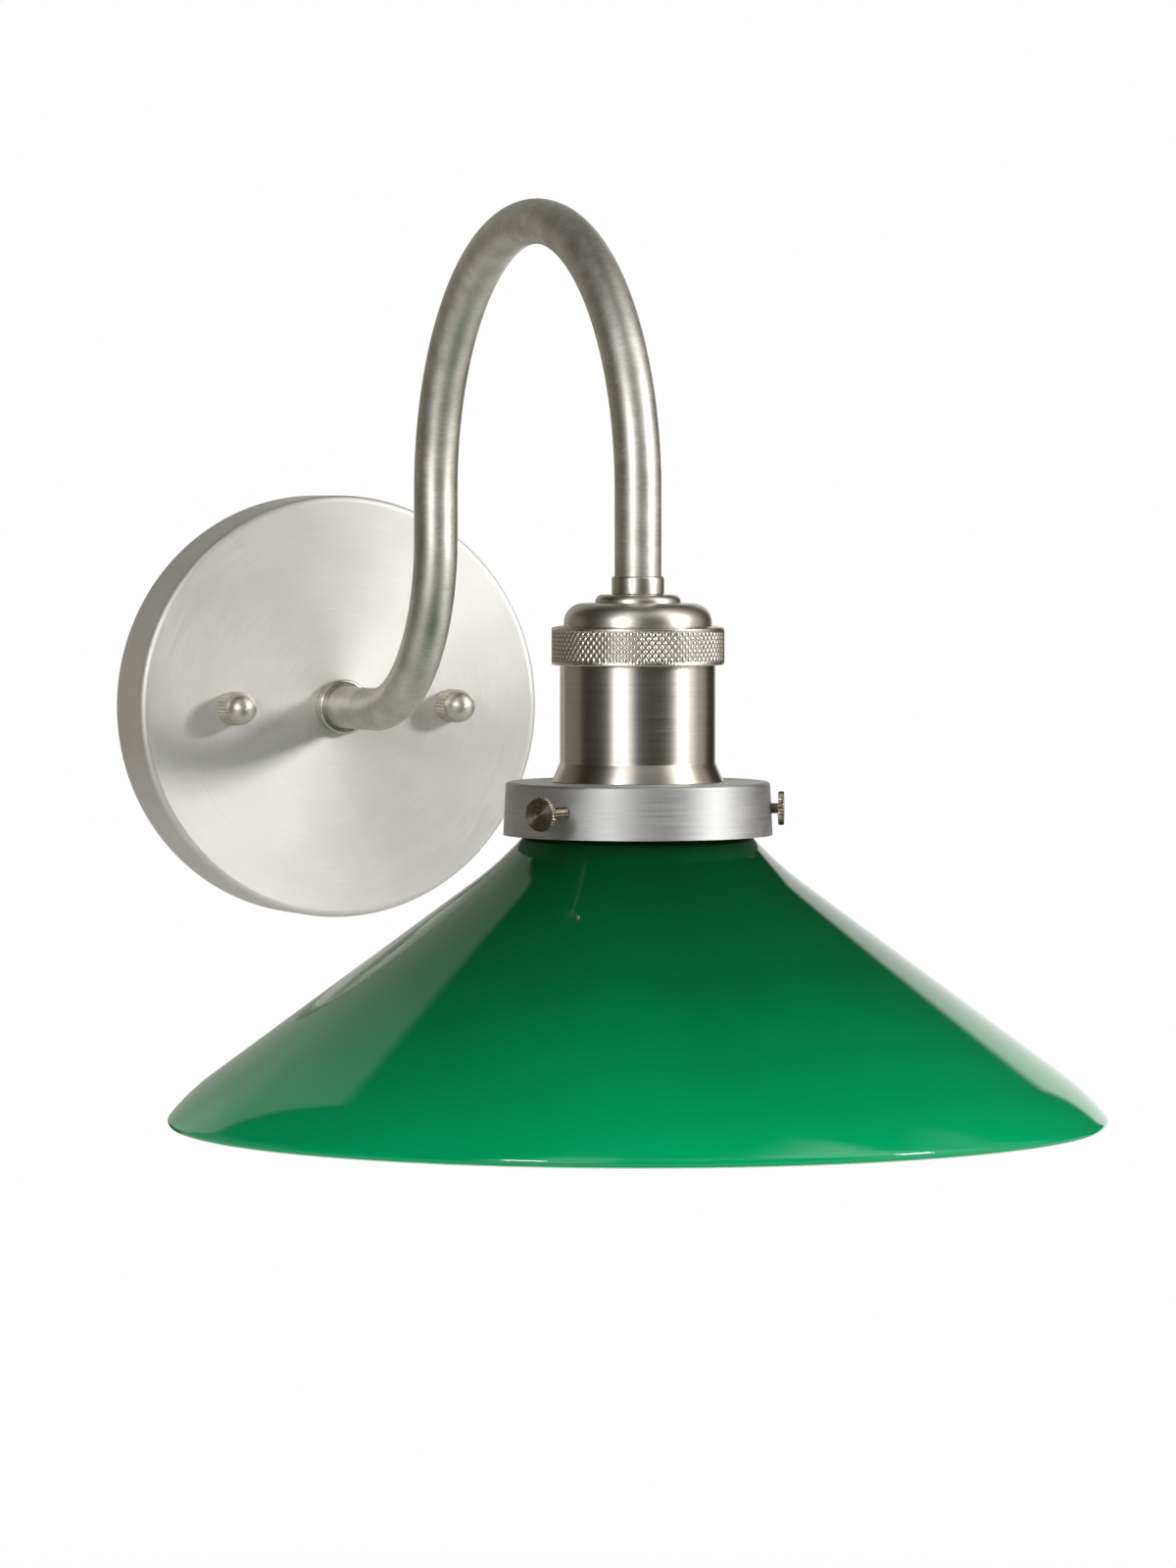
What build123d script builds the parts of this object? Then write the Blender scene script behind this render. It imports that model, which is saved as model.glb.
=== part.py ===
from build123d import *
import math
import os

os.makedirs("parts", exist_ok=True)

# A gooseneck wall sconce with a cased glass shade, in millimetres.
# The wall is the plane Y = 0, the sconce reaches out along -Y and +Z is up.
# The origin is the centre of the wall plate's open back, level with the arm's root.

# ---- fits ----
thread_gap = 0.05        # radial play of a screw or nut that is turned by hand
seat_gap = 0.05          # between a hand nut and the face that it tightens on
loose_gap = 0.30         # round the glass, which hangs on its screws
punch_gap = 0.20         # radial play of a punched hole round a nipple or stud
slip_gap = 0.05          # radial play of a ring slipped over the tube
same_place = 0.01        # two edges closer than this are one and the same

# ---- wall plate: a drawn steel pan, open towards the wall ----
plate_dia = 127.0
plate_depth = 22.5
plate_sheet = 1.2
plate_inner_bend = 0.8

# ---- mounting bar on the wall box ----
bar_length = 106.0
bar_width = 20.0
bar_thick = 2.0
bar_corner = 4.0
bar_wire_hole = 13.0
box_screw_spacing = 88.9
box_slot_length = 10.5
box_slot_width = 5.0
earth_offset = 17.5
earth_rise = 5.6         # above the bar's middle, clear of the leads
earth_screw_dia = 4.8
earth_head_dia = 8.4
earth_head_height = 2.4
earth_slot = 1.2         # width and depth of its screwdriver slot
earth_wire_room = 1.0

# ---- studs and hand nuts that hold the plate on the bar ----
stud_spacing = 69.85
stud_dia = 4.1
stud_reach = 8.5         # how far a stud stands out of the plate
stud_chamfer = 0.5
stud_nut_flats = 8.7
stud_nut_height = 3.2
hand_nut_dia = 10.0
hand_nut_teeth = 30
hand_nut_skirt = 7.6
hand_nut_collar = 0.5
hand_nut_roof = 1.5      # metal left over the end of the blind thread
knurl_depth = 0.25

# ---- arm: one bent tube, tapped at both ends ----
tube_dia = 12.7
tube_bore = 8.7
root_bend_radius = 50.8
arch_radius = 75.5
arm_reach = 252.4        # from the wall to the axis of the socket
back_leg_top = 64.5      # height at which both legs meet the arch
nipple_dia = 9.9
nipple_bore = 6.8
nipple_chamfer = 0.4
tap_depth = 11.0
root_collar_dia = 16.5
root_collar_height = 4.0
root_collar_round = 1.0
pipe_nut_flats = 14.3
pipe_nut_height = 4.0
washer_dia = 17.0
washer_thick = 0.8
washer_teeth = 12
washer_tooth_depth = 1.2
nipple_proud = 2.0       # nipple thread left standing out of its nut
nut_trim = 0.8           # share of a nut's corners that its chamfer takes off
nut_trim_angle = 30.0

# ---- socket cap, seen under the tube's end ----
end_collar_top = 41.8
end_collar_dia = 14.2
end_collar_height = 5.0
end_collar_floor = 2.0
end_collar_round = 0.8
cap_sheet = 1.0
cap_step_dia = 23.2
cap_step_height = 2.3
cap_step_round = 2.0
cap_dome_round = 5.2
cap_dome_height = 6.6
cap_flange_width = 1.0   # it stands out from the dome, under the union ring's lip

# ---- knurled union ring and socket shell ----
ring_wall = 2.3          # outside the shell's thread
ring_height = 10.0
ring_lip = 1.4
ring_crown = 0.6         # the lip rises this much towards the cap
ring_round = 0.7
shell_dia = 42.1
shell_sheet = 1.2
shell_straight = 26.4
shell_flare_out = 2.25   # the skirt's foot stands out from the straight wall
shell_flare_height = 5.2

# ---- shade fitter: a turned aluminium ring with a web on top ----
fitter_top_dia = 71.4
fitter_rim_dia = 72.8
fitter_height = 14.3
fitter_web = 2.5
fitter_bore = 62.6
fitter_round = 1.0
fitter_chamfer = 0.8

# ---- thumb screws of the fitter ----
thumb_count = 3
thumb_bearing = -55.5    # of the left screw, in degrees from the front towards +X
thumb_drop = 7.1         # below the fitter's top
thumb_dia = 3.0
thumb_tip_gap = 0.7      # from the neck's narrowest round to a tightened screw's point
thumb_stand = 1.9        # a tightened head stands off the fitter's wall
thumb_point_dia = 1.8
thumb_point_length = 0.6
thumb_head_dia = 9.1
thumb_head_thick = 1.6
thumb_head_chamfer = 0.25
thumb_teeth = 32
thumb_backed_out = 8.8   # the left screw stands this far out

# ---- glass shade: thickness and outer profile ----
glass_thick = 3.0
lip_dia = 57.0
lip_height = 2.1
lip_round = 0.8
neck_dia = 50.6
neck_fillet = 0.6
neck_curve = 6.0
neck_angle = 52.0        # degrees below level at which the neck's curve ends
flare_curve = 95.0
cone_angle = 36.4
cone_end_dia = 231.4
rim_curve = 60.0
rim_angle = 51.0

# ---- lampholder with its strap and contacts ----
nipple_below_cap = 8.8
strap_drop = 1.0         # how far the nipple stands through the strap
strap_sheet = 1.5
strap_width = 10.0
strap_bridge = 20.0
strap_rise = 11.5
strap_foot = 7.0
holder_dia = 35.0
holder_shoulder_dia = 38.0
holder_shoulder_height = 4.0
holder_below_web = 9.3
holder_cavity_dia = 27.8
holder_cavity_depth = 26.0
screw_shell_bore = 26.6
screw_shell_sheet = 0.6
screw_shell_eye = 16.0
screw_shell_setback = 2.0
contact_dia = 8.0
contact_height = 0.5
contact_round = 0.25
contact_stem_dia = 3.0
contact_strap_width = 5.0
contact_strap_thick = 0.8
terminal_offset = 11.5
terminal_dia = 3.0
terminal_length = 6.0
terminal_head_dia = 6.0
terminal_head_height = 1.6
strap_screw_dia = 3.0
strap_screw_length = 8.0
strap_screw_head = 5.0
strap_screw_head_height = 1.6
lock_ring_dia = 41.0
lock_ring_height = 3.5
lock_ring_notches = 4
lock_ring_notch_width = 3.0
lock_ring_notch_depth = 1.2

# ---- leads, from the lampholder through the arm to the wall plate ----
lead_dia = 2.0
lead_offset = 1.5        # each lead's distance from the plane of the arm
lead_end_bend = 6.0
lead_tail = 24.0         # how far each lead lies to its side behind the plate
lead_bar_room = 2.0      # lead centre line above the mounting bar

# ---- places that follow from the sizes ----
plate_r = plate_dia / 2
tube_r = tube_dia / 2
nipple_r = nipple_dia / 2
stud_r = stud_dia / 2
shell_r = shell_dia / 2
shell_foot_r = shell_r + shell_flare_out
ring_r = shell_r + ring_wall
cap_flange_r = shell_r - thread_gap
cap_dome_r = cap_flange_r - cap_flange_width
back_leg_y = -(arm_reach - 2 * arch_radius)
cap_top = end_collar_top - end_collar_height
tube_end = cap_top + end_collar_floor
cap_step_z = cap_top - cap_step_height
ring_top = cap_step_z - cap_dome_height
flange_top = ring_top - ring_lip
shell_top = flange_top - cap_sheet
shell_waist = ring_top - ring_height - shell_straight
fitter_top = shell_waist - shell_flare_height
web_under = fitter_top - fitter_web
fitter_bottom = fitter_top - fitter_height
thumb_z = fitter_top - thumb_drop
fitter_r = (fitter_top_dia + (fitter_rim_dia - fitter_top_dia) * thumb_drop / fitter_height) / 2
thumb_tip = neck_dia / 2 + thumb_tip_gap
thumb_length = fitter_r + thumb_stand - thumb_tip
lip_under = thumb_z + thumb_dia / 2 + loose_gap
nipple_bottom = cap_top - nipple_below_cap
strap_top = nipple_bottom + strap_drop + strap_sheet
holder_top = strap_top - strap_rise
holder_bottom = web_under - holder_below_web
cavity_top = holder_bottom + holder_cavity_depth
screw_shell_low = holder_bottom + screw_shell_setback
strap_screw_place = strap_bridge / 2 + (strap_sheet + strap_foot) / 2
pan_roof = plate_depth - plate_sheet
root_nut_base = pan_roof - washer_thick - pipe_nut_height
nipple_inner_end = root_nut_base - nipple_proud

ON_FLOOR = (Align.CENTER, Align.CENTER, Align.MIN)
off_wall = Rot(90, 0, 0)             # a height above XY becomes a distance from the wall
socket_axis = Pos(0, -arm_reach, 0)  # the upright line through socket and shade


# ---- small shapes that several pieces share ----
def post(radius, low, high):
    """A round post about Z between two heights."""
    return Pos(0, 0, low) * Cylinder(radius, high - low, align=ON_FLOOR)


def sleeve(outer, inner, low, high):
    """A plain ring about Z."""
    return post(outer, low, high) - post(inner, low, high)


def circle_edges(solid, height, radius):
    """The circular edges of this radius at this height."""
    found = []
    for edge in solid.edges().filter_by(GeomType.CIRCLE):
        level = abs(edge.center().Z - height) < same_place
        if level and abs(edge.radius - radius) < same_place:
            found.append(edge)
    return found


def round_edge(solid, height, radius, size):
    """Round the circular edge of this radius at this height."""
    return fillet(circle_edges(solid, height, radius), size)


def toothed(outer, depth, teeth, height):
    """A straight-knurled disc: a ring of V teeth, drawn up to a height."""
    points = []
    for step in range(2 * teeth):
        radius = outer if step % 2 == 0 else outer - depth
        turn = math.pi * step / teeth
        points.append((radius * math.cos(turn), radius * math.sin(turn)))
    return extrude(make_face(Polyline(*points, close=True)), height)


def hex_nut(flats, bore, low, height):
    """A plain hexagon nut with chamfered corners."""
    blank = extrude(RegularPolygon(flats / 2, 6, major_radius=False), height)
    corner = flats / math.sqrt(3)
    turned = post(corner, 0, height)
    trim = (corner - flats / 2) * nut_trim
    fall = trim * math.tan(math.radians(nut_trim_angle))
    blank &= chamfer(turned.edges().filter_by(GeomType.CIRCLE), fall, trim)
    return Pos(0, 0, low) * (blank - post(bore, 0, height))


# ---- wall side ----
def wall_plate():
    """Drawn pan with a soft front edge, one hole for the arm and two for the studs."""
    pan = post(plate_r, 0, plate_depth)
    pan = round_edge(pan, plate_depth, plate_r, plate_inner_bend + plate_sheet)
    hollow = post(plate_r - plate_sheet, 0, pan_roof)
    pan -= round_edge(hollow, pan_roof, plate_r - plate_sheet, plate_inner_bend)
    pan -= post(nipple_r + punch_gap, 0, plate_depth)
    for side in (-1, 1):
        pan -= Pos(side * stud_spacing / 2, 0, 0) * post(stud_r + punch_gap, 0, plate_depth)
    return off_wall * pan


def mounting_bar():
    """Flat steel bar: slots for the box screws, tapped holes for studs and earth screw."""
    outline = RectangleRounded(bar_length, bar_width, bar_corner)
    outline -= Circle(bar_wire_hole / 2)
    for side in (-1, 1):
        outline -= Pos(side * box_screw_spacing / 2, 0) * SlotOverall(box_slot_length, box_slot_width)
        outline -= Pos(side * stud_spacing / 2, 0) * Circle(stud_r)
    outline -= Pos(-earth_offset, earth_rise) * Circle(earth_screw_dia / 2)
    return off_wall * extrude(outline, bar_thick)


def earth_screw():
    """Slotted screw in the bar, open by a wire's thickness."""
    head_base = bar_thick + earth_wire_room
    screw = post(earth_screw_dia / 2, 0, head_base)
    screw += post(earth_head_dia / 2, head_base, head_base + earth_head_height)
    slot = Box(earth_head_dia, earth_slot, earth_slot, align=ON_FLOOR)
    screw -= Pos(0, 0, head_base + earth_head_height - earth_slot) * slot
    return off_wall * Pos(-earth_offset, earth_rise, 0) * screw


def studs():
    """Two threaded studs, screwed into the bar."""
    top = plate_depth + stud_reach
    stud = post(stud_r, 0, top)
    stud = chamfer(circle_edges(stud, top, stud_r), stud_chamfer)
    pair = [off_wall * Pos(side * stud_spacing / 2, 0, 0) * stud for side in (-1, 1)]
    return Compound(pair)


def stud_nuts():
    """Two jam nuts that lock the studs to the bar."""
    nut = hex_nut(stud_nut_flats, stud_r, bar_thick, stud_nut_height)
    pair = [off_wall * Pos(side * stud_spacing / 2, 0, 0) * nut for side in (-1, 1)]
    return Compound(pair)


def hand_nut(side):
    """Domed nut with a knurled skirt and a blind thread, seated on the plate."""
    radius = hand_nut_dia / 2
    dome_r = radius - knurl_depth
    nut = post(dome_r, 0, hand_nut_collar + hand_nut_skirt)
    nut += Pos(0, 0, hand_nut_collar) * toothed(radius, knurl_depth, hand_nut_teeth, hand_nut_skirt)
    nut += Pos(0, 0, hand_nut_collar + hand_nut_skirt) * Sphere(dome_r)
    nut -= post(dome_r + knurl_depth, -hand_nut_dia, 0)
    nut -= post(stud_r + thread_gap, 0, stud_reach + hand_nut_roof)
    return off_wall * Pos(side * stud_spacing / 2, 0, plate_depth + seat_gap) * nut


# ---- arm ----
def arm_line(shift, near_wall, low):
    """Centre line of the arm in the plane X = shift, from the wall side to its free end."""
    plane = Plane.YZ.offset(shift)
    root = plane * Line((-near_wall, 0), (back_leg_y + root_bend_radius, 0))
    elbow = plane * JernArc((back_leg_y + root_bend_radius, 0), (-1, 0), root_bend_radius, -90)
    back_leg = plane * Line((back_leg_y, root_bend_radius), (back_leg_y, back_leg_top))
    arch = plane * JernArc((back_leg_y, back_leg_top), (0, 1), arch_radius, 180)
    front_leg = plane * Line((-arm_reach, back_leg_top), (-arm_reach, low))
    return [root, elbow, back_leg, arch, front_leg]


def arm_tube():
    """Seamless tube on the arm's line, bored through and tapped for a nipple at each end."""
    path = Wire(Curve() + arm_line(0, plate_depth, tube_end))
    start = Plane(origin=path @ 0, z_dir=path % 0)
    tube = sweep(start * Circle(tube_r), path=path)
    tube -= sweep(start * Circle(tube_bore / 2), path=path)
    tube -= off_wall * post(nipple_r, plate_depth, plate_depth + tap_depth)
    tube -= socket_axis * post(nipple_r, tube_end, tube_end + tap_depth)
    return tube


def root_collar():
    """Turned ring that covers the joint between tube and plate."""
    top = plate_depth + root_collar_height
    ring = post(root_collar_dia / 2, plate_depth, top)
    ring = round_edge(ring, top, root_collar_dia / 2, root_collar_round)
    ring -= post(tube_r + slip_gap, plate_depth, top)
    return off_wall * ring


def nipple(low, high):
    """Short threaded pipe that joins two pieces and lets the leads through."""
    pipe = sleeve(nipple_r, nipple_bore / 2, low, high)
    ends = circle_edges(pipe, low, nipple_r) + circle_edges(pipe, high, nipple_r)
    return chamfer(ends, nipple_chamfer)


def root_washer():
    """Toothed lock washer under the arm's nut."""
    washer = toothed(washer_dia / 2, washer_tooth_depth, washer_teeth, washer_thick)
    washer -= post(nipple_r, 0, washer_thick)
    return off_wall * Pos(0, 0, pan_roof - washer_thick) * washer


# ---- socket ----
def end_collar():
    """Turned cup under the tube's end, with the nipple through its floor."""
    collar = post(end_collar_dia / 2, cap_top, end_collar_top)
    collar = round_edge(collar, end_collar_top, end_collar_dia / 2, end_collar_round)
    collar -= post(tube_r + slip_gap, tube_end, end_collar_top)
    collar -= post(nipple_r, cap_top, tube_end)
    return socket_axis * collar


def cap_outline(inset):
    """Face under the spun cap's two steps, set in by a sheet's thickness."""
    step_r = cap_step_dia / 2 - inset
    dome_r = cap_dome_r - inset
    top = cap_top - inset
    step_z = cap_step_z - inset
    step_round = cap_step_round - inset
    dome_round = cap_dome_round - inset
    with BuildSketch(Plane.XZ) as sketch:
        with BuildLine():
            crown = Line((0, top), (step_r - step_round, top))
            shoulder = JernArc(crown @ 1, (1, 0), step_round, -90)
            riser = Line(shoulder @ 1, (step_r, step_z))
            ledge = Line(riser @ 1, (dome_r - dome_round, step_z))
            dome = JernArc(ledge @ 1, (1, 0), dome_round, -90)
            Polyline(dome @ 1, (dome_r, shell_top), (0, shell_top), (0, top))
        make_face()
    return sketch.sketch


def socket_cap():
    """Spun cap in two rounded steps, with a flange that the union ring holds down."""
    cap = revolve(cap_outline(0), Axis.Z)
    cap += post(cap_flange_r, shell_top, flange_top)
    cap -= revolve(cap_outline(cap_sheet), Axis.Z)
    cap -= post(nipple_r + punch_gap, cap_step_z, cap_top)
    return socket_axis * cap


def union_ring():
    """Ring screwed on the shell, its crowned lip over the cap's flange."""
    low = ring_top - ring_height
    lip_r = cap_dome_r + punch_gap
    points = [
        (shell_r, low),
        (ring_r, low),
        (ring_r, ring_top),
        (lip_r, ring_top + ring_crown),
        (lip_r, flange_top),
        (shell_r, flange_top),
    ]
    ring = revolve(Plane.XZ * make_face(Polyline(*points, close=True)), Axis.Z)
    ring = round_edge(ring, ring_top, ring_r, ring_round)
    ring = round_edge(ring, low, ring_r, ring_round)
    return socket_axis * ring


def shell_outline(inset):
    """Face under the shell's straight wall and flared skirt."""
    radius = shell_r - inset
    foot = shell_foot_r - inset
    points = [
        (0, shell_top),
        (radius, shell_top),
        (radius, shell_waist),
        (foot, fitter_top),
        (0, fitter_top),
    ]
    return Plane.XZ * make_face(Polyline(*points, close=True))


def socket_shell():
    """Spun shell that hides the lampholder and stands on the fitter."""
    shell = revolve(shell_outline(0), Axis.Z)
    shell -= revolve(shell_outline(shell_sheet), Axis.Z)
    return socket_axis * shell


# ---- fitter ----
def fitter():
    """Turned ring: a web with the lampholder's hole, a wall with three tapped holes."""
    points = [
        (0, fitter_top),
        (fitter_top_dia / 2, fitter_top),
        (fitter_rim_dia / 2, fitter_bottom),
        (0, fitter_bottom),
    ]
    body = revolve(Plane.XZ * make_face(Polyline(*points, close=True)), Axis.Z)
    body = round_edge(body, fitter_top, fitter_top_dia / 2, fitter_round)
    body -= post(fitter_bore / 2, fitter_bottom, web_under)
    body = chamfer(circle_edges(body, fitter_bottom, fitter_bore / 2), fitter_chamfer)
    body -= post(holder_dia / 2, web_under, fitter_top)
    drill = Cylinder(thumb_dia / 2 + thread_gap, fitter_rim_dia, align=ON_FLOOR)
    for number in range(thumb_count):
        body -= thumb_place(number) * drill
    return socket_axis * body


def thumb_place(number):
    """Turns a Z axis outwards along one thumb screw, from the shade's axis."""
    turn = thumb_bearing + number * 360 / thumb_count
    return Pos(0, 0, thumb_z) * Rot(0, 0, turn - 90) * Rot(0, 90, 0)


def thumb_screw(number, backed_out):
    """Knurled thumb screw whose point bears on the glass under its lip."""
    head_r = thumb_head_dia / 2
    head = toothed(head_r, knurl_depth, thumb_teeth, thumb_head_thick)
    turned = post(head_r, 0, thumb_head_thick)
    rims = circle_edges(turned, 0, head_r) + circle_edges(turned, thumb_head_thick, head_r)
    head &= chamfer(rims, thumb_head_chamfer)
    tip = thumb_tip + backed_out
    cone_top = tip + thumb_point_length
    head_base = tip + thumb_length
    point = Pos(0, 0, tip) * Cone(thumb_point_dia / 2, thumb_dia / 2, thumb_point_length, align=ON_FLOOR)
    screw = point + post(thumb_dia / 2, cone_top, head_base)
    screw += Pos(0, 0, head_base) * head
    return socket_axis * thumb_place(number) * screw


# ---- glass ----
def shade():
    """Blown shade: fire-polished rim, straight cone, swept neck and a lip for the screws."""
    neck = math.radians(neck_angle)
    cone = math.radians(cone_angle)
    with BuildSketch(Plane.XZ) as sketch:
        with BuildLine():
            start = (neck_dia / 2, lip_under - neck_fillet)
            throat = JernArc(start, (0, -1), neck_curve, 90 - neck_angle)
            flare = JernArc(throat @ 1, throat % 1, flare_curve, neck_angle - cone_angle)
            run = cone_end_dia / 2 - (flare @ 1).X
            side = Line(flare @ 1, (cone_end_dia / 2, (flare @ 1).Y - run * math.tan(cone)))
            turn = JernArc(side @ 1, side % 1, rim_curve, cone_angle - rim_angle)
            edge = JernArc(turn @ 1, turn % 1, glass_thick / 2, -180)
            inner_turn = JernArc(edge @ 1, edge % 1, rim_curve - glass_thick, rim_angle - cone_angle)
            inner_side = Line(inner_turn @ 1, inner_turn @ 1 + (inner_turn % 1) * side.length)
            inner_flare = JernArc(
                inner_side @ 1, inner_side % 1, flare_curve + glass_thick, cone_angle - neck_angle
            )
            inner_throat = JernArc(
                inner_flare @ 1, inner_flare % 1, neck_curve + glass_thick, neck_angle - 90
            )
            lip_top = lip_under + lip_height
            bore = (inner_throat @ 1).X
            inside = Line(inner_throat @ 1, (bore, lip_top - lip_round))
            inner_round = JernArc(inside @ 1, (0, 1), lip_round, -90)
            crown = Line(inner_round @ 1, (lip_dia / 2 - lip_round, lip_top))
            outer_round = JernArc(crown @ 1, (1, 0), lip_round, -90)
            drop = Line(outer_round @ 1, (lip_dia / 2, lip_under + lip_round))
            under_round = JernArc(drop @ 1, (0, -1), lip_round, -90)
            under = Line(under_round @ 1, (neck_dia / 2 + neck_fillet, lip_under))
            JernArc(under @ 1, (-1, 0), neck_fillet, 90)
        make_face()
    return socket_axis * revolve(sketch.sketch, Axis.Z)


# ---- lampholder ----
def holder_strap():
    """Bent steel bridge, tapped in the middle, that carries the lampholder."""
    half = strap_bridge / 2
    foot = holder_top
    points = [
        (-half - strap_foot, foot),
        (-half, foot),
        (-half, strap_top - strap_sheet),
        (half, strap_top - strap_sheet),
        (half, foot),
        (half + strap_foot, foot),
        (half + strap_foot, foot + strap_sheet),
        (half + strap_sheet, foot + strap_sheet),
        (half + strap_sheet, strap_top),
        (-half - strap_sheet, strap_top),
        (-half - strap_sheet, foot + strap_sheet),
        (-half - strap_foot, foot + strap_sheet),
    ]
    face = Plane.YZ.offset(-strap_width / 2) * make_face(Polyline(*points, close=True))
    strap = extrude(face, strap_width)
    strap -= post(nipple_r, strap_top - strap_sheet, strap_top)
    for side in (-1, 1):
        hole = post(strap_screw_dia / 2, holder_top, holder_top + strap_sheet)
        strap -= Pos(0, side * strap_screw_place, 0) * hole
    return socket_axis * strap


def strap_screws():
    """Two screws through the strap's feet into the lampholder."""
    base = holder_top + strap_sheet
    screw = post(strap_screw_dia / 2, base - strap_screw_length, base)
    screw += post(strap_screw_head / 2, base, base + strap_screw_head_height)
    pair = [socket_axis * Pos(0, side * strap_screw_place, 0) * screw for side in (-1, 1)]
    return Compound(pair)


def lampholder():
    """Moulded body: threaded skirt, shoulder on the fitter's web, cavity for the lamp."""
    body = post(holder_dia / 2, holder_bottom, holder_top)
    body += post(holder_shoulder_dia / 2, fitter_top, fitter_top + holder_shoulder_height)
    body -= post(holder_cavity_dia / 2, holder_bottom, cavity_top)
    body -= post(contact_stem_dia / 2, cavity_top, holder_top)
    body -= contact_strap_blank()
    for side in (-1, 1):
        hole = post(strap_screw_dia / 2, holder_top + strap_sheet - strap_screw_length, holder_top)
        body -= Pos(0, side * strap_screw_place, 0) * hole
    body -= Pos(terminal_offset, 0, 0) * post(terminal_dia / 2, holder_top - terminal_length, holder_top)
    body -= Pos(-terminal_offset, 0, 0) * post(terminal_dia / 2, cavity_top, holder_top)
    return socket_axis * body


def contact_strap_blank():
    """The brass strip let into the lampholder's top, from its middle to the line terminal."""
    reach = terminal_offset + contact_strap_width / 2
    strip = Box(
        reach, contact_strap_width, contact_strap_thick, align=(Align.MIN, Align.CENTER, Align.MAX)
    )
    strip += post(contact_strap_width / 2, -contact_strap_thick, 0)
    return Pos(0, 0, holder_top) * strip


def centre_contact():
    """Brass rivet with its strip, the lamp's live contact."""
    contact = contact_strap_blank()
    contact += post(contact_stem_dia / 2, cavity_top - contact_height, holder_top)
    button = post(contact_dia / 2, cavity_top - contact_height, cavity_top)
    contact += round_edge(button, cavity_top - contact_height, contact_dia / 2, contact_round)
    contact -= Pos(terminal_offset, 0, 0) * post(terminal_dia / 2, holder_top - terminal_length, holder_top)
    return socket_axis * contact


def screw_shell():
    """Thin brass sleeve for the lamp's thread, with an inward flange at its top."""
    outer = screw_shell_bore / 2 + screw_shell_sheet
    shell = sleeve(outer, screw_shell_bore / 2, screw_shell_low, cavity_top)
    shell += sleeve(outer, screw_shell_eye / 2, cavity_top - screw_shell_sheet, cavity_top)
    shell -= Pos(-terminal_offset, 0, 0) * post(
        terminal_dia / 2, cavity_top - screw_shell_sheet, cavity_top
    )
    return socket_axis * shell


def terminal_screw(side, low):
    """Binding screw for one lead, on top of the lampholder."""
    head_base = holder_top + lead_dia
    screw = post(terminal_dia / 2, low, head_base)
    screw += post(terminal_head_dia / 2, head_base, head_base + terminal_head_height)
    return socket_axis * Pos(side * terminal_offset, 0, 0) * screw


def lock_ring():
    """Threaded ring that clamps the fitter's web to the lampholder's shoulder."""
    low = web_under - lock_ring_height
    ring = sleeve(lock_ring_dia / 2, holder_dia / 2, low, web_under)
    notch = Box(
        lock_ring_notch_depth,
        lock_ring_notch_width,
        lock_ring_height,
        align=(Align.MAX, Align.CENTER, Align.MIN),
    )
    for number in range(lock_ring_notches):
        turn = Rot(0, 0, 360 * number / lock_ring_notches)
        ring -= turn * Pos(lock_ring_dia / 2, 0, low) * notch
    return socket_axis * ring


# ---- leads ----
def lead(side):
    """One insulated lead: terminal, socket nipple, arm, plate nipple, tail behind the plate."""
    shift = side * lead_offset
    bend = lead_end_bend
    tail_y = -(bar_thick + lead_bar_room)
    terminal_z = holder_top + lead_dia / 2
    terminal_x = side * (terminal_offset - terminal_dia / 2)
    tail = Line((side * lead_tail, tail_y), (shift + side * bend, tail_y))
    tail_bend = JernArc(tail @ 1, (-side, 0), bend, 90 * side)
    along_arm = arm_line(shift, bend - tail_y, terminal_z + bend)
    upright = Plane.XZ.offset(arm_reach)
    drop_bend = upright * JernArc((shift, terminal_z + bend), (0, -1), bend, 90 * side)
    end = upright * Line((shift + side * bend, terminal_z), (terminal_x, terminal_z))
    path = Wire(Curve() + [tail, tail_bend] + along_arm + [drop_bend, end])
    start = Plane(origin=path @ 0, z_dir=path % 0)
    return sweep(start * Circle(lead_dia / 2), path=path)


pieces = {
    "wall_plate": wall_plate(),
    "mounting_bar": mounting_bar(),
    "earth_screw": earth_screw(),
    "plate_studs": studs(),
    "stud_nuts": stud_nuts(),
    "hand_nut_left": hand_nut(-1),
    "hand_nut_right": hand_nut(1),
    "root_collar": root_collar(),
    "arm_tube": arm_tube(),
    "root_nipple": off_wall * nipple(nipple_inner_end, plate_depth + tap_depth),
    "root_lock_washer": root_washer(),
    "root_nut": off_wall * hex_nut(pipe_nut_flats, nipple_r, root_nut_base, pipe_nut_height),
    "end_collar": end_collar(),
    "socket_nipple": socket_axis * nipple(nipple_bottom, tube_end + tap_depth),
    "socket_cap": socket_cap(),
    "cap_nut": socket_axis
    * hex_nut(pipe_nut_flats, nipple_r, cap_top - cap_sheet - pipe_nut_height, pipe_nut_height),
    "union_ring": union_ring(),
    "socket_shell": socket_shell(),
    "holder_strap": holder_strap(),
    "strap_screws": strap_screws(),
    "lampholder": lampholder(),
    "screw_shell": screw_shell(),
    "centre_contact": centre_contact(),
    "line_terminal": terminal_screw(1, holder_top - terminal_length),
    "neutral_terminal": terminal_screw(-1, cavity_top - screw_shell_sheet),
    "lock_ring": lock_ring(),
    "shade_fitter": fitter(),
    "thumb_screw_left": thumb_screw(0, thumb_backed_out),
    "thumb_screw_right": thumb_screw(1, 0),
    "thumb_screw_rear": thumb_screw(2, 0),
    "glass_shade": shade(),
    "line_lead": lead(1),
    "neutral_lead": lead(-1),
}

for name, piece in pieces.items():
    export_step(piece, os.path.join("parts", name + ".step"))
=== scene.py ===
import math

import bmesh
import bpy
from mathutils import Matrix, Vector


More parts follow.
